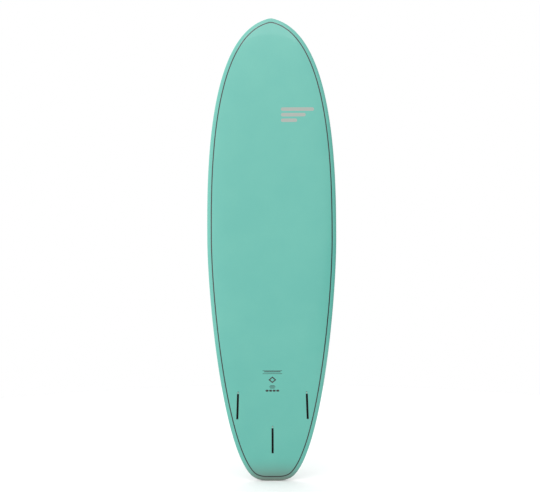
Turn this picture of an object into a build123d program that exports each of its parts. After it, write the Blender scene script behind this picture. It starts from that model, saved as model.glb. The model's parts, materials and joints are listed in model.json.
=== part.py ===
from build123d import *
from math import cos, pi, radians, sin, sqrt, tan
import os

# A 6 ft 6 in mid-length surfboard. It stands on its tail: +Z runs from the tail to the nose,
# the bottom with its three fin boxes faces -Y and the deck faces +Y. The origin is below the
# middle of the board's box, on the level of the tail's end. Millimetres and degrees.

# Driving dimensions of the hull
LENGTH = 1981.0
HALF_WIDTH = 273.0
THICKNESS = 70.0
WIDE_POINT = 1037.0  # height of the widest section above the tail
FLAT_SPOT = 880.0  # height of the thickest section, where the bottom curve turns
NOSE_ROCKER = 120.0
TAIL_ROCKER = 50.0
NOSE_THICKNESS = 18.0
NOSE_TIP_THICKNESS = 5.0
NOSE_TIP_HALF_WIDTH = 6.0
TAIL_THICKNESS = 17.0
NOSE_ROUNDING = 50.0  # length over which the nose closes in side view
SECTIONS = 40
RAIL_LINE_STEPS = 14

# How sharply the side view's curves set in: the higher the power, the later the curve
NOSE_ROCKER_POWER = 2.6
TAIL_ROCKER_POWER = 2.3
NOSE_FOIL_POWER = 2.2
TAIL_FOIL_POWER = 2.0
ROUNDING_POWER = 4.0

# Shape of a cross-section, as shares of the half width and of the depth above or below
# the rail's widest line
RAIL_HEIGHT = 0.36  # height of the rail's widest line in the whole thickness
BOTTOM_FLAT = 0.55
BOTTOM_TUCK = 0.97
TUCK_RISE = 0.35
RAIL_RISE = 0.5
SHOULDER_WIDTH = 0.86
SHOULDER_RISE = 0.86
DECK_CROWN = 0.45

# Build-up of the shell
SKIN = 1.0
STRINGER_WIDTH = 4.0
PINLINE_INSET = 18.5  # from the board's outline to the middle of the line
PINLINE_WIDTH = 2.6

# Fin boxes: single-tab boxes with one angled grub screw in front of the slot
SLOT_LENGTH = 107.0
SLOT_WIDTH = 7.0
SLOT_CORNER = 1.6
BOX_WIDTH = 19.0
BOX_NOSE_WALL = 18.5  # from the slot's front end to the box's front end
BOX_TAIL_WALL = 7.5
BOX_FLOOR = 2.4
SIDE_SLOT_DEPTH = 12.7
CENTRE_SLOT_DEPTH = 19.0
SIDE_BOX_HEIGHT = 320.0  # height of the slot's middle above the tail
SIDE_BOX_OFFSET = 147.0  # of the slot's middle from the stringer
SIDE_BOX_TOE = 2.1
CENTRE_BOX_HEIGHT = 173.5
INSERT_MARGIN = 9.0  # high-density foam left around a fitting
INSERT_FLOOR = 2.0

SCREW_RADIUS = 2.4
SCREW_HOLE_RADIUS = 2.6
SCREW_LENGTH = 10.0
SCREW_RECESS = 2.5
SCREW_LEAD = 7.5  # from the slot's front end to the screw's mouth
SCREW_TILT = 32.0
SCREW_HOLE_DEPTH = 14.0
HEX_KEY = 2.4  # across the flats
HEX_DEPTH = 2.5
SCREW_CHAMFER = 0.5

# Leash plug, in the deck close to the tail
LEASH_HEIGHT = 70.0
LEASH_FLANGE_RADIUS = 14.0
FLANGE_DEPTH = 2.5
LEASH_BODY_RADIUS = 12.5
LEASH_BODY_DEPTH = 16.0
CUP_RADIUS = 9.5
CUP_DEPTH = 13.5
CUP_FILLET = 4.0
BAR_RADIUS = 1.5
BAR_LENGTH = 23.0
BAR_DEPTH = 5.0

# Vent, in the deck beside the stringer
VENT_HEIGHT = 1120.0
VENT_OFFSET = 60.0
VENT_FLANGE_RADIUS = 11.0
VENT_BODY_RADIUS = 8.5
VENT_BODY_DEPTH = 15.0
VENT_RECESS_RADIUS = 6.3
VENT_RECESS_DEPTH = 4.0
VENT_BORE_RADIUS = 3.2
VENT_BORE_DEPTH = 12.5
VENT_AIRWAY_RADIUS = 1.0
VENT_HEAD_RADIUS = 6.0
VENT_HEAD_TOP = 0.4
VENT_SHANK_RADIUS = 2.9
VENT_SHANK_LENGTH = 7.0
SEAL_SECTION_RADIUS = 0.7
SEAL_RING_RADIUS = 4.6
COIN_SLOT_WIDTH = 1.6
COIN_SLOT_DEPTH = 1.3

REACH = 400.0  # further than any part of the board stands from the origin's plane
CLEAR = 6.0  # how far a cutting form starts outside the skin

# The outline's right half in plan, as (distance from the stringer, height above the tail)
TAIL_CORNER = ((30, 0), (70, 2.5), (86, 16.9), (96, 28.3))
TAIL_CURVE = (TAIL_CORNER[-1], (213, 161.7), (HALF_WIDTH, 781), (HALF_WIDTH, WIDE_POINT))
NOSE_CURVE = (TAIL_CURVE[-1], (HALF_WIDTH, 1274), (278, 1920), (NOSE_TIP_HALF_WIDTH, LENGTH))


def rocker(height):
    """How far the bottom's middle line stands behind its furthest forward point."""
    if height > FLAT_SPOT:
        return NOSE_ROCKER * ((height - FLAT_SPOT) / (LENGTH - FLAT_SPOT)) ** NOSE_ROCKER_POWER
    return TAIL_ROCKER * ((FLAT_SPOT - height) / FLAT_SPOT) ** TAIL_ROCKER_POWER


def foil(height):
    """Thickness on the middle line, before the nose is rounded off."""
    if height > FLAT_SPOT:
        share = (height - FLAT_SPOT) / (LENGTH - FLAT_SPOT)
        return THICKNESS - (THICKNESS - NOSE_THICKNESS) * share**NOSE_FOIL_POWER
    share = (FLAT_SPOT - height) / FLAT_SPOT
    return THICKNESS - (THICKNESS - TAIL_THICKNESS) * share**TAIL_FOIL_POWER


def thickness(height):
    """Thickness on the middle line, rounded off over the last stretch of the nose."""
    into_round = max(0.0, 1 - (LENGTH - height) / NOSE_ROUNDING)
    fullness = sqrt(1 - into_round**ROUNDING_POWER)
    return NOSE_TIP_THICKNESS + (foil(height) - NOSE_TIP_THICKNESS) * fullness


HALF_DEPTH = max(rocker(h) + thickness(h) for h in range(int(LENGTH))) / 2


def bottom_line(height):
    return rocker(height) - HALF_DEPTH


def deck_line(height):
    return bottom_line(height) + thickness(height)


def rail_line(height):
    return bottom_line(height) + RAIL_HEIGHT * foil(height)


with BuildLine() as half_outline:
    Bezier(*TAIL_CORNER)
    Bezier(*TAIL_CURVE)
    Bezier(*NOSE_CURVE)


def inset_outline(inset):
    """Points along the right half of the outline, drawn in by a constant margin."""
    path = half_outline.wire()
    points = []
    for number in range(SECTIONS + 1):
        share = (1 - cos(pi * number / SECTIONS)) / 2
        point, along = path @ share, path % share
        points.append((point.X - inset * along.Y, point.Y + inset * along.X))
    return points


def hull(inset):
    """The board's whole form, drawn in by a constant margin all round."""
    sections = []
    for half_width, height in inset_outline(inset):
        depth = thickness(height) - 2 * inset
        lower = bottom_line(height) + inset
        upper = lower + depth
        rail = lower + RAIL_HEIGHT * depth
        with BuildSketch(Plane.XY.offset(height)) as section:
            with BuildLine():
                Bezier(
                    (0, lower),
                    (BOTTOM_FLAT * half_width, lower),
                    (BOTTOM_TUCK * half_width, lower),
                    (half_width, lower + TUCK_RISE * (rail - lower)),
                    (half_width, rail),
                )
                Bezier(
                    (half_width, rail),
                    (half_width, rail + RAIL_RISE * (upper - rail)),
                    (SHOULDER_WIDTH * half_width, rail + SHOULDER_RISE * (upper - rail)),
                    (DECK_CROWN * half_width, upper),
                    (0, upper),
                )
                mirror(about=Plane.YZ)
            make_face()
        sections.append(section.sketch)
    with BuildPart() as form:
        loft(sections=sections)
    return form.part


def plan_prism(inset):
    """Everything that lies within the plan outline, drawn in by a constant margin."""
    points = inset_outline(inset)
    (tail_half, tail_height), (nose_half, nose_height) = points[0], points[-1]
    with BuildPart() as prism:
        with BuildSketch(Plane.XZ):
            with BuildLine():
                Spline(*points)
                mirror(about=Plane.YZ)
                Line((-tail_half, tail_height), (tail_half, tail_height))
                Line((-nose_half, nose_height), (nose_half, nose_height))
            make_face()
        extrude(amount=REACH, both=True)
    return prism.part


def front_space():
    """Everything on the bottom's side of the line where the rails are widest."""
    heights = [LENGTH * step / RAIL_LINE_STEPS for step in range(-1, RAIL_LINE_STEPS + 1)]
    edge = [(rail_line(height), height) for height in heights]
    with BuildPart() as space:
        with BuildSketch(Plane.YZ):
            with BuildLine():
                Spline(*edge)
                Polyline(edge[-1], (-REACH, heights[-1]), (-REACH, heights[0]), edge[0])
            make_face()
        extrude(amount=REACH, both=True)
    return space.part


def bottom_place(side, offset_out, height, toe):
    """A plane on the bottom, its x axis towards the nose and its z axis out of the board."""
    lean = (bottom_line(height + 1) - bottom_line(height - 1)) / 2
    return Plane(
        origin=(side * offset_out, bottom_line(height), height),
        x_dir=(-side * tan(radians(toe)), lean, 1),
        z_dir=(0, -1, lean),
    )


def deck_place(offset_out, height):
    """A plane on the deck, its x axis across the board and its z axis out of it."""
    lean = (deck_line(height + 1) - deck_line(height - 1)) / 2
    return Plane(origin=(offset_out, deck_line(height), height), x_dir=(1, 0, 0), z_dir=(0, 1, -lean))


def screw_place(place):
    """A plane at a fin screw's mouth, its z axis along the screw and out of the board."""
    mouth = place.from_local_coords((SLOT_LENGTH / 2 + SCREW_LEAD, 0, 0))
    out = place.x_dir * sin(radians(SCREW_TILT)) + place.z_dir * cos(radians(SCREW_TILT))
    return Plane(origin=mouth, x_dir=place.y_dir, z_dir=out)


def box_prism(place, depth, margin):
    """A fin box's outer form, grown all round by a margin, from outside the skin inwards."""
    length = BOX_TAIL_WALL + SLOT_LENGTH + BOX_NOSE_WALL + 2 * margin
    with BuildPart() as prism:
        with BuildSketch(place.offset(CLEAR)):
            with Locations(((BOX_NOSE_WALL - BOX_TAIL_WALL) / 2, 0)):
                SlotOverall(length, BOX_WIDTH + 2 * margin)
        extrude(amount=-CLEAR - depth)
    return prism.part


def slot_space(place, depth):
    """The fin slot and the hole of its screw, with everything outside their mouths."""
    with BuildPart() as space:
        with BuildSketch(place.offset(CLEAR)):
            RectangleRounded(SLOT_LENGTH, SLOT_WIDTH, SLOT_CORNER)
        extrude(amount=-CLEAR - depth)
        with BuildSketch(screw_place(place).offset(CLEAR)):
            Circle(SCREW_HOLE_RADIUS)
        extrude(amount=-CLEAR - SCREW_HOLE_DEPTH)
    return space.part


def round_prism(place, radius, depth):
    """A cylinder from outside the skin to a depth below it."""
    with BuildPart() as prism:
        with BuildSketch(place.offset(CLEAR)):
            Circle(radius)
        extrude(amount=-CLEAR - depth)
    return prism.part


def plug_form(place, flange_radius, body_radius, body_depth):
    """The outer form of a plug: a flange level with the deck and a body below it."""
    with BuildPart() as form:
        add(round_prism(place, flange_radius, FLANGE_DEPTH))
        add(round_prism(place, body_radius, body_depth))
    return form.part


def write(piece, name):
    piece.label = name
    export_step(piece, f"parts/{name}.step")


os.makedirs("parts", exist_ok=True)

board = hull(0)
inner_board = hull(SKIN)
with BuildPart() as shell:
    add(board)
    add(inner_board, mode=Mode.SUBTRACT)

fin_places = {
    "left": (bottom_place(-1, SIDE_BOX_OFFSET, SIDE_BOX_HEIGHT, SIDE_BOX_TOE), SIDE_SLOT_DEPTH),
    "right": (bottom_place(1, SIDE_BOX_OFFSET, SIDE_BOX_HEIGHT, SIDE_BOX_TOE), SIDE_SLOT_DEPTH),
    "centre": (bottom_place(1, 0, CENTRE_BOX_HEIGHT, 0), CENTRE_SLOT_DEPTH),
}
leash_place = deck_place(0, LEASH_HEIGHT)
vent_place = deck_place(VENT_OFFSET, VENT_HEIGHT)

# Blocks of high-density foam that the fittings are bedded in
insert_forms = {
    f"fin_insert_{name}": box_prism(place, depth + BOX_FLOOR + INSERT_FLOOR, INSERT_MARGIN)
    for name, (place, depth) in fin_places.items()
}
insert_forms["leash_insert"] = round_prism(
    leash_place, LEASH_FLANGE_RADIUS + INSERT_MARGIN / 2, LEASH_BODY_DEPTH + INSERT_FLOOR
)
insert_forms["vent_insert"] = round_prism(
    vent_place, VENT_FLANGE_RADIUS + INSERT_MARGIN / 2, VENT_BODY_DEPTH + INSERT_FLOOR
)
fitting_forms = {
    f"fin_insert_{name}": box_prism(place, depth + BOX_FLOOR, 0)
    for name, (place, depth) in fin_places.items()
}
fitting_forms["leash_insert"] = plug_form(
    leash_place, LEASH_FLANGE_RADIUS, LEASH_BODY_RADIUS, LEASH_BODY_DEPTH
)
fitting_forms["vent_insert"] = plug_form(
    vent_place, VENT_FLANGE_RADIUS, VENT_BODY_RADIUS, VENT_BODY_DEPTH
)
for name, form in insert_forms.items():
    with BuildPart() as insert:
        add(form)
        add(inner_board, mode=Mode.INTERSECT)
        add(fitting_forms[name], mode=Mode.SUBTRACT)
    write(insert.part, name)

# Foam core in two halves, glued to a timber stringer
with BuildPart() as stringer:
    add(inner_board)
    with BuildSketch(Plane.XZ):
        with Locations((0, LENGTH / 2)):
            Rectangle(STRINGER_WIDTH, 2 * LENGTH)
    extrude(amount=REACH, both=True, mode=Mode.INTERSECT)
    add(list(insert_forms.values()), mode=Mode.SUBTRACT)
write(stringer.part, "stringer")

for name, side in (("left", -1), ("right", 1)):
    with BuildPart() as core_half:
        add(inner_board)
        with BuildSketch(Plane.XZ):
            with Locations((side * (STRINGER_WIDTH + REACH) / 2, LENGTH / 2)):
                Rectangle(REACH, 2 * LENGTH)
        extrude(amount=REACH, both=True, mode=Mode.INTERSECT)
        add(list(insert_forms.values()), mode=Mode.SUBTRACT)
    write(core_half.part, f"core_{name}")

# Glass skins: one on the bottom, one on the deck and one lapped round the rails. The seams
# between them are filled by the pinlines.
within_line = plan_prism(PINLINE_INSET + PINLINE_WIDTH / 2)
up_to_rail = plan_prism(PINLINE_INSET - PINLINE_WIDTH / 2)
in_front = front_space()

with BuildPart() as bottom_skin:
    add(shell.part)
    add(within_line, mode=Mode.INTERSECT)
    add(in_front, mode=Mode.INTERSECT)
    for place, depth in fin_places.values():
        add(slot_space(place, depth), mode=Mode.SUBTRACT)
write(bottom_skin.part, "bottom_skin")

with BuildPart() as deck_skin:
    add(shell.part)
    add(within_line, mode=Mode.INTERSECT)
    add(in_front, mode=Mode.SUBTRACT)
    add(round_prism(leash_place, LEASH_FLANGE_RADIUS, FLANGE_DEPTH), mode=Mode.SUBTRACT)
    add(round_prism(vent_place, VENT_FLANGE_RADIUS, FLANGE_DEPTH), mode=Mode.SUBTRACT)
write(deck_skin.part, "deck_skin")

with BuildPart() as rail_skin:
    add(shell.part)
    add(up_to_rail, mode=Mode.SUBTRACT)
write(rail_skin.part, "rail_skin")

for name, mode in (("bottom", Mode.INTERSECT), ("deck", Mode.SUBTRACT)):
    with BuildPart() as pinline:
        add(shell.part)
        add(up_to_rail, mode=Mode.INTERSECT)
        add(within_line, mode=Mode.SUBTRACT)
        add(in_front, mode=mode)
    write(pinline.part, f"pinline_{name}")

# Fin boxes and their grub screws
for name, (place, depth) in fin_places.items():
    with BuildPart() as fin_box:
        add(box_prism(place, depth + BOX_FLOOR, 0))
        add(inner_board, mode=Mode.INTERSECT)
        add(slot_space(place, depth), mode=Mode.SUBTRACT)
    write(fin_box.part, f"fin_box_{name}")

    head = screw_place(place).offset(-SCREW_RECESS)
    with BuildPart() as fin_screw:
        with BuildSketch(head):
            Circle(SCREW_RADIUS)
        extrude(amount=-SCREW_LENGTH)
        chamfer(fin_screw.edges().filter_by(GeomType.CIRCLE), SCREW_CHAMFER)
        with BuildSketch(head):
            RegularPolygon(HEX_KEY / 2, 6, major_radius=False)
        extrude(amount=-HEX_DEPTH, mode=Mode.SUBTRACT)
    write(fin_screw.part, f"fin_screw_{name}")

# Leash plug: a cup with a steel bar across it for the leash string
bar_axis = Plane(
    origin=leash_place.from_local_coords((0, 0, -BAR_DEPTH)),
    x_dir=leash_place.y_dir,
    z_dir=leash_place.x_dir,
)
with BuildPart() as leash_bar:
    with BuildSketch(bar_axis):
        Circle(BAR_RADIUS)
    extrude(amount=BAR_LENGTH / 2, both=True)
write(leash_bar.part, "leash_bar")

with BuildPart() as cup_space:
    with BuildSketch(leash_place.offset(CLEAR)):
        Circle(CUP_RADIUS)
    extrude(amount=-CLEAR - CUP_DEPTH)
    floor_edge = cup_space.faces().sort_by(Axis(leash_place.origin, leash_place.z_dir))[0].edges()
    fillet(floor_edge, CUP_FILLET)

with BuildPart() as leash_plug:
    add(fitting_forms["leash_insert"])
    add(board, mode=Mode.INTERSECT)
    add(cup_space.part, mode=Mode.SUBTRACT)
    add(leash_bar.part, mode=Mode.SUBTRACT)
write(leash_plug.part, "leash_plug")

# Vent: a housing in the deck, closed by a coin-slotted screw on an O-ring
with BuildPart() as vent_housing:
    add(fitting_forms["vent_insert"])
    add(board, mode=Mode.INTERSECT)
    add(round_prism(vent_place, VENT_RECESS_RADIUS, VENT_RECESS_DEPTH), mode=Mode.SUBTRACT)
    add(round_prism(vent_place, VENT_BORE_RADIUS, VENT_BORE_DEPTH), mode=Mode.SUBTRACT)
    add(round_prism(vent_place, VENT_AIRWAY_RADIUS, VENT_BODY_DEPTH), mode=Mode.SUBTRACT)
write(vent_housing.part, "vent_housing")

seal_plane = vent_place.offset(SEAL_SECTION_RADIUS - VENT_RECESS_DEPTH)
head_thickness = VENT_RECESS_DEPTH - 2 * SEAL_SECTION_RADIUS - VENT_HEAD_TOP
with BuildPart() as vent_screw:
    with BuildSketch(vent_place.offset(-VENT_HEAD_TOP)):
        Circle(VENT_HEAD_RADIUS)
    extrude(amount=-head_thickness)
    with BuildSketch(vent_place.offset(-VENT_HEAD_TOP - head_thickness)):
        Circle(VENT_SHANK_RADIUS)
    extrude(amount=-VENT_SHANK_LENGTH)
    chamfer(vent_screw.edges().filter_by(GeomType.CIRCLE).group_by(SortBy.RADIUS)[-1], SCREW_CHAMFER)
    with BuildSketch(vent_place.offset(-VENT_HEAD_TOP)):
        Rectangle(COIN_SLOT_WIDTH, 3 * VENT_HEAD_RADIUS)
    extrude(amount=-COIN_SLOT_DEPTH, mode=Mode.SUBTRACT)
write(vent_screw.part, "vent_screw")

with BuildPart() as vent_seal:
    with BuildSketch(Plane(origin=seal_plane.origin, x_dir=seal_plane.x_dir, z_dir=seal_plane.y_dir)):
        with Locations((SEAL_RING_RADIUS, 0)):
            Circle(SEAL_SECTION_RADIUS)
    revolve(axis=Axis(seal_plane.origin, seal_plane.z_dir))
write(vent_seal.part, "vent_seal")
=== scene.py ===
"""A 6 ft 6 in mid-length surfboard, standing on its tail: the looks built round the CAD frame.

The board's glass is built here as one smooth surface and cut into five skins, which replace
the CAD's. The fittings are the CAD's own nodes with better materials. Metres; +Z runs from the
tail to the nose, the bottom faces -Y and the deck faces +Y.
"""
import json
from math import acos, comb, cos, pi, radians, sin

import bmesh
import bpy
import numpy as np
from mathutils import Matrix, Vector
from mathutils.geometry import delaunay_2d_cdt


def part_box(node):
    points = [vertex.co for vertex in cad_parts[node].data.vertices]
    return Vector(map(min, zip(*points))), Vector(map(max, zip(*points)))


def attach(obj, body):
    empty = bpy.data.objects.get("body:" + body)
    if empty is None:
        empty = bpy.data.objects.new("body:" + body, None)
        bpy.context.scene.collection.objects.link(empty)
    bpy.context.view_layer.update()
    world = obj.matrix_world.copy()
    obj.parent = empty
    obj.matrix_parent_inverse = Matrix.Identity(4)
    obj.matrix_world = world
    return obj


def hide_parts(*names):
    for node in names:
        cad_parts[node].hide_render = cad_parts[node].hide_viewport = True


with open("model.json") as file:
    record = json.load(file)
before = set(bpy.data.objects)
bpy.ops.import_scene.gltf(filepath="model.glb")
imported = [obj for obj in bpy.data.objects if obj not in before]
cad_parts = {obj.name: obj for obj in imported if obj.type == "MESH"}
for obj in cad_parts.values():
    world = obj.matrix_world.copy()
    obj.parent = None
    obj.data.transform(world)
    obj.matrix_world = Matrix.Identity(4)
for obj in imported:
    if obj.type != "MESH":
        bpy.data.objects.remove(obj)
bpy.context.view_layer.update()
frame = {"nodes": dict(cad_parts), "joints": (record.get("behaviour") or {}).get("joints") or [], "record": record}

MM = 0.001
HULL = "hull"

# The hull's form, as in the CAD
LENGTH = 1981 * MM
HALF_WIDTH = 273 * MM
THICKNESS = 70 * MM
WIDE_POINT = 1037 * MM
FLAT_SPOT = 880 * MM
NOSE_ROCKER = 120 * MM
TAIL_ROCKER = 50 * MM
NOSE_THICKNESS = 18 * MM
NOSE_TIP_THICKNESS = 5 * MM
NOSE_TIP_HALF_WIDTH = 6 * MM
TAIL_THICKNESS = 17 * MM
NOSE_ROUNDING = 50 * MM
NOSE_ROCKER_POWER = 2.6
TAIL_ROCKER_POWER = 2.3
NOSE_FOIL_POWER = 2.2
TAIL_FOIL_POWER = 2.0
ROUNDING_POWER = 4.0
RAIL_HEIGHT = 0.36  # height of the rail's widest line, as a share of the thickness
SKIN = 1.0 * MM

# A section's two halves as (share of the half width, share of the climb to the rail)
LOWER_SECTION = ((0, 0), (0.55, 0), (0.97, 0), (1, 0.35), (1, 1))
UPPER_SECTION = ((0, 0), (0.45, 0), (0.86, 0.14), (1, 0.5), (1, 1))

# The outline's right half in plan
TAIL_CORNER = ((0.030, 0), (0.070, 0.0025), (0.086, 0.0169), (0.096, 0.0283))
TAIL_CURVE = (TAIL_CORNER[-1], (0.213, 0.1617), (HALF_WIDTH, 0.781), (HALF_WIDTH, WIDE_POINT))
NOSE_CURVE = (TAIL_CURVE[-1], (HALF_WIDTH, 1.274), (0.278, 1.920), (NOSE_TIP_HALF_WIDTH, LENGTH))

# Radii of the two ends' edges
TAIL_EDGE = 2.5 * MM
NOSE_EDGE = 1.5 * MM

# The black line lies between two margins from the outline. It is drawn wider than in the CAD,
# to show as broad as it does in the photo.
PINLINE_OUTER = 16.1 * MM
PINLINE_INNER = 20.9 * MM

# Mesh density: steps along each stretch of the outline, across the rail, and distances
TAIL_FLAT_STEPS = 10
TAIL_CORNER_STEPS = 12
TAIL_CURVE_STEPS = 170
NOSE_CURVE_STEPS = 200
NOSE_TIP_STEPS = 3
RAIL_STEPS = 16
END_STEPS = 4
PANEL_STEP = 12 * MM
HOLE_STEP = 1.2 * MM
MARK_STEP = 3 * MM
TABLE_STEPS = 20000  # in the tables that the section's two halves are looked up in
OUTLINE_STEPS = 4000  # points along each curve of the outline, and up the board's height
BATCH = 400  # points that are measured against the net at one time
SAME_POINT = 0.002 * MM  # closer than this, two corners are welded
TINY = 0.0001 * MM

# Openings in the skins; the screws' mouths are seen along their slanted axes
SLOT_LENGTH = 107 * MM
SLOT_WIDTH = 7 * MM
SLOT_CORNER = 1.6 * MM
SCREW_HOLE_RADIUS = 2.6 * MM
SCREW_LEAD = 7.5 * MM
SLOT_RIM = 1.1 * MM  # of the box that shows black round its slot
LEASH_FLANGE_RADIUS = 14 * MM
VENT_FLANGE_RADIUS = 11 * MM

# Rings round an opening, as (distance outside its edge, depth below the surface)
SANDED_EDGE = ((0, 0.5 * MM), (0.25 * MM, 0.15 * MM), (0.6 * MM, 0), (1.2 * MM, 0), (2.0 * MM, 0))
FLUSH_EDGE = ((0, 0.3 * MM), (0.2 * MM, 0), (0.8 * MM, 0), (2.5 * MM, 0))


# ---- The hull's surface ----


def bezier(points, count):
    """Points along a Bezier curve of any degree, both ends included."""
    t = np.linspace(0, 1, count)[:, None]
    degree = len(points) - 1
    return sum(
        comb(degree, k) * t**k * (1 - t) ** (degree - k) * np.array(point, float)
        for k, point in enumerate(points)
    )


def toward_nose(z):
    return np.clip((z - FLAT_SPOT) / (LENGTH - FLAT_SPOT), 0, 1)


def toward_tail(z):
    return np.clip((FLAT_SPOT - z) / FLAT_SPOT, 0, 1)


def rocker(z):
    """How far the bottom's middle line stands behind its furthest forward point."""
    nose, tail = toward_nose(z) ** NOSE_ROCKER_POWER, toward_tail(z) ** TAIL_ROCKER_POWER
    return NOSE_ROCKER * nose + TAIL_ROCKER * tail


def thickness(z):
    """Thickness on the middle line, rounded off over the last stretch of the nose."""
    nose, tail = toward_nose(z) ** NOSE_FOIL_POWER, toward_tail(z) ** TAIL_FOIL_POWER
    foil = THICKNESS - (THICKNESS - NOSE_THICKNESS) * nose - (THICKNESS - TAIL_THICKNESS) * tail
    into_round = np.clip(1 - (LENGTH - z) / NOSE_ROUNDING, 0, 1)
    fullness = np.sqrt(1 - into_round**ROUNDING_POWER)
    return NOSE_TIP_THICKNESS + (foil - NOSE_TIP_THICKNESS) * fullness


def rounded_off(distance, radius):
    """How far a surface has fallen back at a distance from an edge rounded to a radius."""
    short = np.clip(radius - distance, 0, radius)
    return radius - np.sqrt(radius**2 - short**2)


HEIGHTS = np.linspace(0, LENGTH, OUTLINE_STEPS)
HALF_DEPTH = (rocker(HEIGHTS) + thickness(HEIGHTS)).max() / 2
CURVES = (TAIL_CORNER, TAIL_CURVE, NOSE_CURVE)
OUTLINE = np.vstack([bezier(points, OUTLINE_STEPS) for points in CURVES])
LOWER_TABLE = bezier(LOWER_SECTION, TABLE_STEPS)
UPPER_TABLE = bezier(UPPER_SECTION, TABLE_STEPS)


def half_width(z):
    """Distance from the stringer's middle to the outline."""
    return np.interp(z, OUTLINE[:, 1], OUTLINE[:, 0])


def surface(x, z, side):
    """The hull's y at points in plan: side -1 is the bottom and side 1 is the deck."""
    x, z = np.asarray(x, float), np.clip(z, 0, LENGTH)
    bottom, depth = rocker(z) - HALF_DEPTH, thickness(z)
    rail = bottom + RAIL_HEIGHT * depth
    edge = rounded_off(z, TAIL_EDGE) + rounded_off(LENGTH - z, NOSE_EDGE)
    across = np.clip(np.abs(x) / half_width(z), 0, 1)
    if side < 0:
        return rail - (rail - bottom - edge) * (1 - np.interp(across, *LOWER_TABLE.T))
    return rail + (bottom + depth - edge - rail) * (1 - np.interp(across, *UPPER_TABLE.T))


def rail_line(z):
    """The y at which the rails are widest."""
    return rocker(z) - HALF_DEPTH + RAIL_HEIGHT * thickness(z)


def stations():
    """Points round the outline, anticlockwise from the tail's middle, and their inward normals."""
    stretches = (
        (((0, 0), TAIL_CORNER[0]), TAIL_FLAT_STEPS),
        (TAIL_CORNER, TAIL_CORNER_STEPS),
        (TAIL_CURVE, TAIL_CURVE_STEPS),
        (NOSE_CURVE, NOSE_CURVE_STEPS),
        ((NOSE_CURVE[-1], (0, LENGTH)), NOSE_TIP_STEPS),
    )
    spots, ways = [], []
    for points, steps in stretches:
        spots.append(bezier(points, steps + 1)[:-1])
        ways.append(bezier(np.diff(np.array(points, float), axis=0), steps + 1)[:-1])
    right, right_way = np.vstack(spots), np.vstack(ways)
    nose_end = np.array([[0, LENGTH]])
    left, left_way = right[:0:-1] * (-1, 1), right_way[:0:-1] * (1, -1)
    spots = np.vstack([right, nose_end, left])
    ways = np.vstack([right_way, [[-1, 0]], left_way])
    inward = np.stack([-ways[:, 1], ways[:, 0]], axis=1)
    return spots, inward / np.linalg.norm(inward, axis=1)[:, None]


# ---- Openings and printed marks, as loops in plan ----

BARE, GREY_INK, BLACK_INK = 0, 1, 2


def rounded_rectangle(length, width, radius, spacing):
    """A loop round a rectangle with rounded corners, its long side along u."""
    loop = []
    corners = ((1, 1, 0), (-1, 1, 90), (-1, -1, 180), (1, -1, 270))
    turns = max(4, round(radius * pi / 2 / spacing))
    for u_side, v_side, start in corners:
        centre = np.array((u_side * (length / 2 - radius), v_side * (width / 2 - radius)))
        for turn in range(turns + 1):
            angle = radians(start + 90 * turn / turns)
            loop.append(centre + radius * np.array((cos(angle), sin(angle))))
    return filled_in(loop, spacing)


def ellipse(centre, half_length, half_breadth, spacing):
    """A loop round an ellipse, its length along u."""
    count = max(16, round(2 * pi * half_length / spacing))
    angles = 2 * pi * np.arange(count) / count
    around = np.stack([half_length * np.cos(angles), half_breadth * np.sin(angles)], axis=1)
    return np.array(centre) + around


def filled_in(loop, spacing):
    """The same closed loop with no gap between its points wider than the spacing."""
    points = []
    for start, end in zip(loop, [*loop[1:], loop[0]]):
        steps = max(1, int(np.ceil(np.linalg.norm(end - start) / spacing)))
        points += [start + (end - start) * step / steps for step in range(steps)]
    return np.array(points)


def mount(name):
    """Where a mount of the record stands, and its direction."""
    found = next(m for m in frame["record"]["mounts"] if m["name"] == name)
    return Vector(found["pos_m"]), Vector(found["axis"])


def joint_axis(name):
    """The direction in which a joint of the frame moves its body."""
    return Vector(next(j["axis"] for j in frame["joints"] if j["name"] == name))


def slot_loops(name):
    """The rings of a fin slot and of its screw's mouth, and the box's black rim as a mark."""
    origin, out = mount(f"fin_slot_{name}")
    screw = joint_axis(f"fin_screw_{name}_travel")
    along = (screw - out * screw.dot(out)).normalized()
    across = out.cross(along)
    slant = screw.dot(out)
    # How far the slanted screw moves towards the tail on its way through the skin
    drift = (SKIN + SANDED_EDGE[0][1]) * sin(acos(slant)) / slant
    mouth = (SLOT_LENGTH / 2 + SCREW_LEAD - drift / 2, 0)

    def in_plan(local):
        spots = [origin + along * u + across * v for u, v in local]
        return np.array([(spot.x, spot.z) for spot in spots])

    rim_size = (SLOT_LENGTH + 2 * SLOT_RIM, SLOT_WIDTH + 2 * SLOT_RIM, SLOT_CORNER)
    rim = rounded_rectangle(*rim_size, HOLE_STEP)
    slot, hole = [], []
    for margin, depth in SANDED_EDGE:
        size = (SLOT_LENGTH + 2 * margin, SLOT_WIDTH + 2 * margin, SLOT_CORNER + margin)
        radius = SCREW_HOLE_RADIUS + margin
        around = ellipse(mouth, radius / slant + drift / 2, radius, HOLE_STEP / 2)
        slot.append((in_plan(rounded_rectangle(*size, HOLE_STEP)), depth))
        hole.append((in_plan(around), depth))
    return [slot, hole], (in_plan(rim), BLACK_INK)


def round_loops(node, radius):
    """The loops round a plug's flange, about the middle of its CAD node."""
    low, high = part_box(node)
    centre = ((low.x + high.x) / 2, (low.z + high.z) / 2)
    return [(ellipse(centre, radius + m, radius + m, HOLE_STEP), depth) for m, depth in FLUSH_EDGE]


# ---- One smooth hull, cut into skins ----


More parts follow.
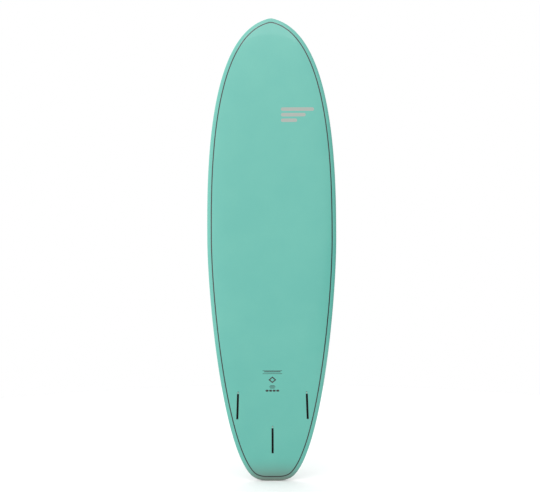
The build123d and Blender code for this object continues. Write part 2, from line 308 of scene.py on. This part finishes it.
def inside(points, loop):
    """Which of the points in plan lie inside a closed loop."""
    x, z = points[:, 0][:, None], points[:, 1][:, None]
    x1, z1 = loop[:, 0], loop[:, 1]
    x2, z2 = np.roll(x1, -1), np.roll(z1, -1)
    spans = (z1 > z) != (z2 > z)
    rise = np.where(z2 == z1, 1, z2 - z1)
    left = x < (x2 - x1) * (z - z1) / rise + x1
    return (spans & left).sum(axis=1) % 2 == 1


def net_points(border, outer_rings, kept):
    """An even grid of points inside the border, outside the rings and clear of the kept points."""
    low, high = border.min(axis=0), border.max(axis=0)
    columns = np.arange(low[0], high[0], PANEL_STEP)
    rows = np.arange(low[1], high[1], PANEL_STEP)
    net = np.array([(x, z) for x in columns for z in rows])
    net = net[inside(net, border)]
    for ring in outer_rings:
        net = net[~inside(net, ring)]
    for start in range(0, len(kept), BATCH):
        gaps = np.linalg.norm(net[:, None] - kept[None, start:start + BATCH], axis=2)
        net = net[gaps.min(axis=1) > PANEL_STEP / 3]
    return net


def loop_edges(loops):
    """The edges of closed loops whose points are numbered one loop after another."""
    edges, first = [], 0
    for loop in loops:
        count = len(loop)
        edges += [(first + k, first + (k + 1) % count) for k in range(count)]
        first += count
    return edges


def panel(border, holes, marks, side):
    """A flat net over the board's middle: its points in 3-D, its triangles and their marks."""
    loops = [border, *(ring for hole in holes for ring, _ in hole), *(loop for loop, _ in marks)]
    depths = [0] + [depth for hole in holes for _, depth in hole] + [0] * len(marks)
    kept = np.vstack(loops)
    net = net_points(border, [hole[-1][0] for hole in holes], kept)
    points = [Vector(p) for p in np.vstack([kept, net])]
    flat, _, triangles, origins, _, _ = delaunay_2d_cdt(points, loop_edges(loops), [], 0, TINY)
    flat = np.array([tuple(p) for p in flat])
    sunk = np.concatenate([np.full(len(loop), depth) for loop, depth in zip(loops, depths)])
    sunk = np.concatenate([sunk, np.zeros(len(net))])
    sink = np.array([sunk[own[0]] if own else 0 for own in origins])
    triangles = np.array([t for t in triangles if len(t) == 3])
    middles = flat[triangles].mean(axis=1)
    keep = inside(middles, border)
    for hole in holes:
        keep &= ~inside(middles, hole[0][0])
    triangles, middles = triangles[keep], middles[keep]
    ink = np.zeros(len(triangles), int)
    for loop, colour in marks:
        ink[inside(middles, loop)] = colour
    y = surface(flat[:, 0], flat[:, 1], side) - side * sink
    return np.stack([flat[:, 0], y, flat[:, 1]], axis=1), triangles, ink


def rim_band():
    """The hull outside the panels: a net of stations by steps from the bottom round to the deck."""
    spots, inward = stations()
    steps = np.arange(RAIL_STEPS, -1, -1) / RAIL_STEPS
    margins = [PINLINE_INNER, *(PINLINE_OUTER * steps**3)]
    bottom, deck = [], []
    for margin in margins:
        x, z = (spots + margin * inward).T
        bottom.append(np.stack([x, surface(x, z, -1), z], axis=1))
        deck.append(np.stack([x, surface(x, z, 1), z], axis=1))
    on_curve = np.abs(inward[:, 0]) > 1e-6
    for edge in (bottom[-1], deck[-1]):
        edge[on_curve, 1] = rail_line(edge[on_curve, 2])
    end = [bottom[-1] + (deck[-1] - bottom[-1]) * k / END_STEPS for k in range(1, END_STEPS)]
    return np.stack([*bottom, *end, *deck[::-1]], axis=1)


SKINS = ("bottom_skin", "pinline_bottom", "rail_skin", "pinline_deck", "deck_skin")
BOTTOM, BOTTOM_LINE, RAIL, DECK_LINE, DECK = range(len(SKINS))


def hull_mesh(bottom_holes, deck_holes, marks):
    """The whole hull as one mesh; each face carries the number of its skin and of its ink."""
    net = rim_band()
    columns = net.shape[1]
    band = bmesh.new()
    skin_of = band.faces.layers.int.new("skin")
    ink_of = band.faces.layers.int.new("ink")
    across = [BOTTOM_LINE, *[RAIL] * (columns - 3), DECK_LINE]
    grid = [[band.verts.new(point) for point in row] for row in net]
    for row, after in zip(grid, [*grid[1:], grid[0]]):
        for k, skin in enumerate(across):
            face = band.faces.new((row[k], row[k + 1], after[k + 1], after[k]))
            face[skin_of] = skin
    for side, holes, drawn, skin in ((-1, bottom_holes, marks, BOTTOM), (1, deck_holes, [], DECK)):
        border = net[:, 0 if side < 0 else -1][:, (0, 2)]
        points, triangles, ink = panel(border, holes, drawn, side)
        corners = [band.verts.new(point) for point in points]
        for triangle, colour in zip(triangles, ink):
            order = triangle if side < 0 else triangle[::-1]
            face = band.faces.new([corners[k] for k in order])
            face[skin_of] = skin
            face[ink_of] = colour
    bmesh.ops.remove_doubles(band, verts=band.verts, dist=SAME_POINT)
    bmesh.ops.dissolve_degenerate(band, edges=band.edges, dist=TINY)
    bmesh.ops.recalc_face_normals(band, faces=band.faces)
    band.normal_update()
    return band


def skin_piece(hull, number, name, materials):
    """One skin cut out of the hull: its outer faces, an inner copy and the walls between them."""
    skin_of, ink_of = hull.faces.layers.int["skin"], hull.faces.layers.int["ink"]
    faces = [face for face in hull.faces if face[skin_of] == number]
    corners = sorted({v for face in faces for v in face.verts}, key=lambda v: v.index)
    place = {v: k for k, v in enumerate(corners)}
    count = len(corners)
    outer = np.array([v.co for v in corners])
    normals = np.array([v.normal for v in corners])
    polygons, kinds, colours = [], [], []
    for face in faces:
        ring = [place[v] for v in face.verts]
        polygons += [ring, [k + count for k in reversed(ring)]]
        kinds += ["outer", "inner"]
        colours += [face[ink_of], 0]
    chosen = set(faces)
    for face in faces:
        for loop in face.loops:
            if any(other in chosen for other in loop.edge.link_faces if other != face):
                continue
            start, end = place[loop.vert], place[loop.link_loop_next.vert]
            polygons.append([end, start, start + count, end + count])
            kinds.append("wall")
            colours.append(0)
    mesh = bpy.data.meshes.new(name)
    mesh.from_pydata(np.vstack([outer, outer - SKIN * normals]).tolist(), [], polygons)
    mesh.polygons.foreach_set("use_smooth", [kind != "wall" for kind in kinds])
    mesh.polygons.foreach_set("material_index", colours)
    both = np.vstack([normals, -normals])
    split = [
        (0, 0, 0) if kind == "wall" else both[k]
        for kind, polygon in zip(kinds, polygons)
        for k in polygon
    ]
    mesh.normals_split_custom_set(split)
    piece = bpy.data.objects.new(name, mesh)
    bpy.context.scene.collection.objects.link(piece)
    for material in materials:
        mesh.materials.append(material)
    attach(piece, HULL)
    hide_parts(SKINS[number])


# ---- Printed marks: plain bars and a lozenge in place of lettering ----


def bar(x, z, length, width):
    """A bar with round ends, as a loop in plan."""
    return np.array((x, z)) + rounded_rectangle(length, width, width * 0.49, MARK_STEP)


def upper_mark():
    """Three plain grey bars to the right of the middle, each shorter than the one above."""
    left, width = 41 * MM, 15 * MM
    rows = ((141 * MM, 1578 * MM), (105 * MM, 1554 * MM), (69 * MM, 1530 * MM))
    return [(bar(left + length / 2, z, length, width), GREY_INK) for length, z in rows]


def lower_marks():
    """A small stack on the middle line: two rules round a bar, a lozenge, dashes and blocks."""
    rules = ((472.8, 83, 1.9), (468, 70, 3.4), (460, 83, 1.9))
    dashes = ((409, 20, 2.6), (404, 27, 2.6), (399, 20, 2.6))
    loops = [bar(0, z * MM, length * MM, width * MM) for z, length, width in rules + dashes]
    for offset in (-22.5, -7.5, 7.5, 22.5):
        loops.append(bar(offset * MM, 387.8 * MM, 13 * MM, 8.4 * MM))
    lozenge = np.array([(17, 0), (0, 14), (-17, 0), (0, -14)]) * MM
    middle = (0, 434 * MM)
    loops.append(filled_in(lozenge + middle, MARK_STEP))
    window = filled_in(lozenge * 0.55 + middle, MARK_STEP)
    return [(loop, BLACK_INK) for loop in loops] + [(window, BARE)]


# ---- Materials ----


class Surface:
    """A procedural material: one Principled shader and the nodes that feed it."""

    def __init__(self, name, roughness, **constants):
        self.material = bpy.data.materials.new(name)
        self.material.use_nodes = True
        self.tree = self.material.node_tree
        self.shader = self.tree.nodes["Principled BSDF"]
        self.place = self.tree.nodes.new("ShaderNodeTexCoord").outputs["Object"]
        self.shader.inputs["Roughness"].default_value = roughness
        for socket, value in constants.items():
            self.shader.inputs[socket.replace("_", " ")].default_value = value

    def noise(self, scale, detail=2.0, stretch=(1, 1, 1), distortion=0.0):
        """Noise of so many features a metre, as a number from 0 to 1."""
        mapping = self.tree.nodes.new("ShaderNodeMapping")
        mapping.inputs["Scale"].default_value = stretch
        self.tree.links.new(self.place, mapping.inputs["Vector"])
        node = self.tree.nodes.new("ShaderNodeTexNoise")
        node.inputs["Scale"].default_value = scale
        node.inputs["Detail"].default_value = detail
        node.inputs["Distortion"].default_value = distortion
        self.tree.links.new(mapping.outputs["Vector"], node.inputs["Vector"])
        return node.outputs["Fac"]

    def height(self):
        """Height above the tail's end, in metres."""
        node = self.tree.nodes.new("ShaderNodeSeparateXYZ")
        self.tree.links.new(self.place, node.inputs["Vector"])
        return node.outputs["Z"]

    def cells(self, scale):
        """Distance to the nearest of so many cell centres a metre."""
        node = self.tree.nodes.new("ShaderNodeTexVoronoi")
        node.inputs["Scale"].default_value = scale
        self.tree.links.new(self.place, node.inputs["Vector"])
        return node.outputs["Distance"]

    def ramp(self, value, low, high, start=0.0, end=1.0):
        """A number taken from one range to another."""
        node = self.tree.nodes.new("ShaderNodeMapRange")
        node.inputs["From Min"].default_value = start
        node.inputs["From Max"].default_value = end
        node.inputs["To Min"].default_value = low
        node.inputs["To Max"].default_value = high
        self.tree.links.new(value, node.inputs["Value"])
        return node.outputs["Result"]

    def product(self, first, second):
        node = self.tree.nodes.new("ShaderNodeMath")
        node.operation = "MULTIPLY"
        self.tree.links.new(first, node.inputs[0])
        self.tree.links.new(second, node.inputs[1])
        return node.outputs["Value"]

    def blend(self, value, first, second):
        """A colour between two others; either may be a colour or another node's output."""
        node = self.tree.nodes.new("ShaderNodeMix")
        node.data_type = "RGBA"
        self.tree.links.new(value, node.inputs["Factor"])
        colour_sockets = [s for s in node.inputs if s.type == "RGBA"]
        for socket, colour in zip(colour_sockets, (first, second)):
            if isinstance(colour, tuple):
                socket.default_value = (*colour, 1)
            else:
                self.tree.links.new(colour, socket)
        return next(s for s in node.outputs if s.type == "RGBA")

    def feed(self, socket, value):
        self.tree.links.new(value, self.shader.inputs[socket])

    def bump(self, value, strength, distance):
        node = self.tree.nodes.new("ShaderNodeBump")
        node.inputs["Strength"].default_value = strength
        node.inputs["Distance"].default_value = distance
        self.tree.links.new(value, node.inputs["Height"])
        self.feed("Normal", node.outputs["Normal"])


# Linear colours of the paint and the inks, and of the painted shade at the tail's end
TEAL_LIGHT = (0.118, 0.473, 0.391)
TEAL_DEEP = (0.107, 0.456, 0.381)
# Painted shade: a dark grey-brown that stands in for the shade over the last stretch above the tail's end.
TAIL_SHADE_COLOUR = (0.150, 0.170, 0.140)
TAIL_SHADE_HEIGHT = 110 * MM  # above the tail's end, where the painted shade has faded out
GREY_PRINT = (0.37, 0.41, 0.37)
GREY_DEEP = (0.355, 0.39, 0.355)
BLACK_PRINT = (0.008, 0.010, 0.009)
BLACK_RUBBED = (0.016, 0.019, 0.018)


def glossed(name, first, second, patches, grain):
    """Paint or ink under clear gloss resin: soft patches, a fine grain and an orange-peel skin."""
    made = Surface(name, 0.32, Coat_Weight=0.6, Coat_Roughness=0.06, IOR=1.5)
    patchy = made.blend(made.ramp(made.noise(patches, 4), 0, 1, 0.35, 0.65), first, second)
    darker = tuple(0.93 * part for part in second)
    speckle = made.ramp(made.noise(grain, 3), 0, 0.35, 0.5, 0.8)
    made.feed("Base Color", made.blend(speckle, patchy, darker))
    made.feed("Roughness", made.ramp(made.noise(45, 3), 0.27, 0.37))
    made.bump(made.noise(300, 2), 0.25, 0.06 * MM)
    return made


def seafoam():
    """The board's teal paint, with painted shade darkening it toward the tail's end."""
    made = glossed("seafoam_gloss", TEAL_LIGHT, TEAL_DEEP, 7, 500)
    unshaded_paint = made.shader.inputs["Base Color"].links[0].from_socket
    # Painted shade: the paint is blended toward a dark grey-brown over the last 110 mm above the tail's end,
    # strongest at the end.
    tail_shade = made.ramp(made.height(), 1, 0, 0, TAIL_SHADE_HEIGHT)
    made.feed("Base Color", made.blend(made.product(tail_shade, tail_shade), unshaded_paint, TAIL_SHADE_COLOUR))
    return made.material


def moulded(name, colour, worn):
    """Injection-moulded plastic with a fine matt texture and paler, rubbed patches."""
    made = Surface(name, 0.5, Specular_IOR_Level=0.2)
    rubbed = made.ramp(made.noise(120, 4), 0, 0.5, 0.55, 0.8)
    made.feed("Base Color", made.blend(rubbed, colour, worn))
    made.feed("Roughness", made.ramp(made.noise(600, 2), 0.42, 0.6))
    made.bump(made.noise(2500, 2), 0.3, 0.02 * MM)
    return made.material


def metal(name, colour, stained, roughness, grain):
    """Turned metal with fine tool marks and a few dull stains from salt water."""
    made = Surface(name, roughness, Metallic=1.0)
    stain = made.ramp(made.noise(500, 4), 0, 0.7, 0.5, 0.75)
    made.feed("Base Color", made.blend(stain, colour, stained))
    made.feed("Roughness", made.ramp(made.noise(700, 3), roughness - 0.08, roughness + 0.14))
    made.bump(made.noise(900, 2, grain), 0.25, 0.02 * MM)
    return made.material


def rubber():
    """Black rubber with a faint grey bloom."""
    made = Surface("seal_rubber", 0.7)
    bloom = made.ramp(made.noise(900, 3), 0, 0.3, 0.5, 0.9)
    made.feed("Base Color", made.blend(bloom, (0.012, 0.012, 0.012), (0.05, 0.05, 0.048)))
    made.bump(made.noise(3000, 2), 0.3, 0.02 * MM)
    return made.material


def beaded_foam(name, colour, shade, beads):
    """Expanded foam: a net of beads pressed against each other, with painted shade in the creases between them."""
    made = Surface(name, 0.85)
    distance = made.cells(beads)
    # Painted shade: the colour darkens toward the borders between beads, in the creases where they meet.
    made.feed("Base Color", made.blend(made.ramp(distance, 0, 1, 0.2, 0.8), colour, shade))
    made.bump(distance, 0.4, 0.6 * MM)
    return made.material


def timber():
    """A strip of pale wood whose grain runs along the board."""
    made = Surface("stringer_timber", 0.65)
    grain = made.noise(60, 6, (1, 1, 0.03), 0.4)
    bands = made.ramp(grain, 0, 1, 0.3, 0.7)
    made.feed("Base Color", made.blend(bands, (0.55, 0.38, 0.22), (0.38, 0.23, 0.12)))
    made.feed("Roughness", made.ramp(grain, 0.55, 0.75))
    made.bump(grain, 0.3, 0.2 * MM)
    return made.material


def dress_fittings():
    """Gives each CAD node that stays the material of its slot."""
    by_slot = {
        "box_plastic": moulded("box_plastic", (0.006, 0.005, 0.005), (0.030, 0.029, 0.028)),
        "plug_plastic": moulded("plug_plastic", (0.016, 0.016, 0.017), (0.06, 0.06, 0.058)),
        "steel": metal("stainless_steel", (0.52, 0.50, 0.47), (0.30, 0.25, 0.20), 0.34, (1, 1, 6)),
        "vent_brass": metal("vent_brass", (0.70, 0.52, 0.26), (0.34, 0.24, 0.12), 0.3, (1, 1, 6)),
        "seal_rubber": rubber(),
        "foam": beaded_foam("core_foam", (0.86, 0.86, 0.84), (0.70, 0.70, 0.68), 260),
        "dense_foam": beaded_foam("dense_foam", (0.55, 0.60, 0.48), (0.42, 0.47, 0.36), 700),
        "timber": timber(),
    }
    for part in frame["record"]["subparts"]:
        if part["material_slot"] in by_slot:
            node = frame["nodes"][part["node"]]
            node.data.materials.clear()
            node.data.materials.append(by_slot[part["material_slot"]])


# ---- The studio ----

CAMERA_PLACE = (-0.0075, -4.5, 0.998)
CAMERA_ROLL = 0.25  # degrees
CAMERA_LENS = 70.3
CAMERA_SENSOR = 36
FLOOR_RADIUS = 3.0
FLOOR_BOUNCE = (0.72, 0.72, 0.72)
BRIGHT_SIDE = (-0.7, 0, 0.71)  # the direction that the sky's light is strongest from
STRONGEST_LIGHT = 1.25
STRONGEST_FROM = 0.45  # how far a direction lies toward BRIGHT_SIDE where this light begins
KEY_STRENGTH = 0.6
KEY_SPREAD = 120  # degrees
KEY_TOWARD = (0.5, 0.75, -0.75)
CEILING_POWER = 14
CEILING_SIZE = (2.0, 1.6)
CEILING_PLACE = (-0.3, -2.9, 5.4)
CEILING_TARGET = (0, 0, 1.95)


def pale_floor():
    """A round pale floor, level with the tail's end, that throws little light back up."""
    net = bmesh.new()
    bmesh.ops.create_circle(net, cap_ends=True, segments=96, radius=FLOOR_RADIUS)
    mesh = bpy.data.meshes.new("floor")
    net.to_mesh(mesh)
    floor = bpy.data.objects.new("floor", mesh)
    bpy.context.scene.collection.objects.link(floor)
    made = Surface("floor_paint", 0.8)
    paint_seen = made.blend(made.noise(3, 2), (0.93, 0.93, 0.93), (0.91, 0.91, 0.91))
    seen = made.tree.nodes.new("ShaderNodeLightPath").outputs["Is Camera Ray"]
    made.feed("Base Color", made.blend(seen, FLOOR_BOUNCE, paint_seen))
    mesh.materials.append(made.material)


def sky():
    """White light all round, strongest from the upper left, before a plain white backdrop."""
    world = bpy.data.worlds.new("studio")
    world.use_nodes = True
    bpy.context.scene.world = world
    tree = world.node_tree
    back = tree.nodes["Background"]
    place = tree.nodes.new("ShaderNodeTexCoord")
    facing = tree.nodes.new("ShaderNodeVectorMath")
    facing.operation = "DOT_PRODUCT"
    facing.inputs[1].default_value = BRIGHT_SIDE
    level = tree.nodes.new("ShaderNodeMapRange")
    level.inputs["From Min"].default_value = -1
    level.inputs["From Max"].default_value = STRONGEST_FROM
    level.inputs["To Max"].default_value = STRONGEST_LIGHT
    seen = tree.nodes.new("ShaderNodeLightPath")
    pick = tree.nodes.new("ShaderNodeMix")
    pick.inputs["B"].default_value = 1.0
    tree.links.new(place.outputs["Generated"], facing.inputs[0])
    tree.links.new(facing.outputs["Value"], level.inputs["Value"])
    tree.links.new(seen.outputs["Is Camera Ray"], pick.inputs["Factor"])
    tree.links.new(level.outputs["Result"], pick.inputs["A"])
    tree.links.new(pick.outputs["Result"], back.inputs["Strength"])
    back.inputs["Color"].default_value = (1, 1, 1, 1)


def soft_sun(name, strength, spread, toward):
    """Soft light that falls evenly from one side of the studio."""
    light = bpy.data.lights.new(name, "SUN")
    light.energy = strength
    light.angle = radians(spread)
    lamp = bpy.data.objects.new(name, light)
    bpy.context.scene.collection.objects.link(lamp)
    lamp.rotation_euler = (-Vector(toward)).to_track_quat("Z", "Y").to_euler()


def softbox(name, power, size, place, target):
    """A broad flat light above the front, seen in the gloss of the nose."""
    light = bpy.data.lights.new(name, "AREA")
    light.shape = "RECTANGLE"
    light.size, light.size_y = size
    light.energy = power
    lamp = bpy.data.objects.new(name, light)
    bpy.context.scene.collection.objects.link(lamp)
    lamp.location = place
    lamp.rotation_euler = (Vector(place) - Vector(target)).to_track_quat("Z", "Y").to_euler()


def camera():
    """A camera square to the bottom, at half the board's height."""
    lens = bpy.data.cameras.new("camera")
    lens.sensor_width = CAMERA_SENSOR
    lens.lens = CAMERA_LENS
    eye = bpy.data.objects.new("camera", lens)
    eye.location = CAMERA_PLACE
    eye.rotation_euler = (radians(90), radians(CAMERA_ROLL), 0)
    bpy.context.scene.collection.objects.link(eye)
    bpy.context.scene.camera = eye


# ---- The board, put together ----

paint = seafoam()
grey_ink = glossed("grey_ink", GREY_PRINT, GREY_DEEP, 20, 900).material
black_ink = glossed("black_ink", BLACK_PRINT, BLACK_RUBBED, 30, 900).material
line_paint = glossed("pinline_black", BLACK_PRINT, BLACK_RUBBED, 40, 900).material

bottom_holes, marks = [], upper_mark() + lower_marks()
for name in ("left", "right", "centre"):
    openings, rim = slot_loops(name)
    bottom_holes += openings
    marks.append(rim)
deck_holes = [
    round_loops("leash_plug", LEASH_FLANGE_RADIUS),
    round_loops("vent_housing", VENT_FLANGE_RADIUS),
]
hull = hull_mesh(bottom_holes, deck_holes, marks)
skin_piece(hull, BOTTOM, "bottom_glass", [paint, grey_ink, black_ink])
skin_piece(hull, BOTTOM_LINE, "pinline_on_bottom", [line_paint])
skin_piece(hull, RAIL, "rail_glass", [paint])
skin_piece(hull, DECK_LINE, "pinline_on_deck", [line_paint])
skin_piece(hull, DECK, "deck_glass", [paint])
hull.free()
dress_fittings()

pale_floor()
sky()
soft_sun("key", KEY_STRENGTH, KEY_SPREAD, KEY_TOWARD)
softbox("ceiling", CEILING_POWER, CEILING_SIZE, CEILING_PLACE, CEILING_TARGET)
camera()
bpy.context.scene.view_settings.view_transform = "Standard"
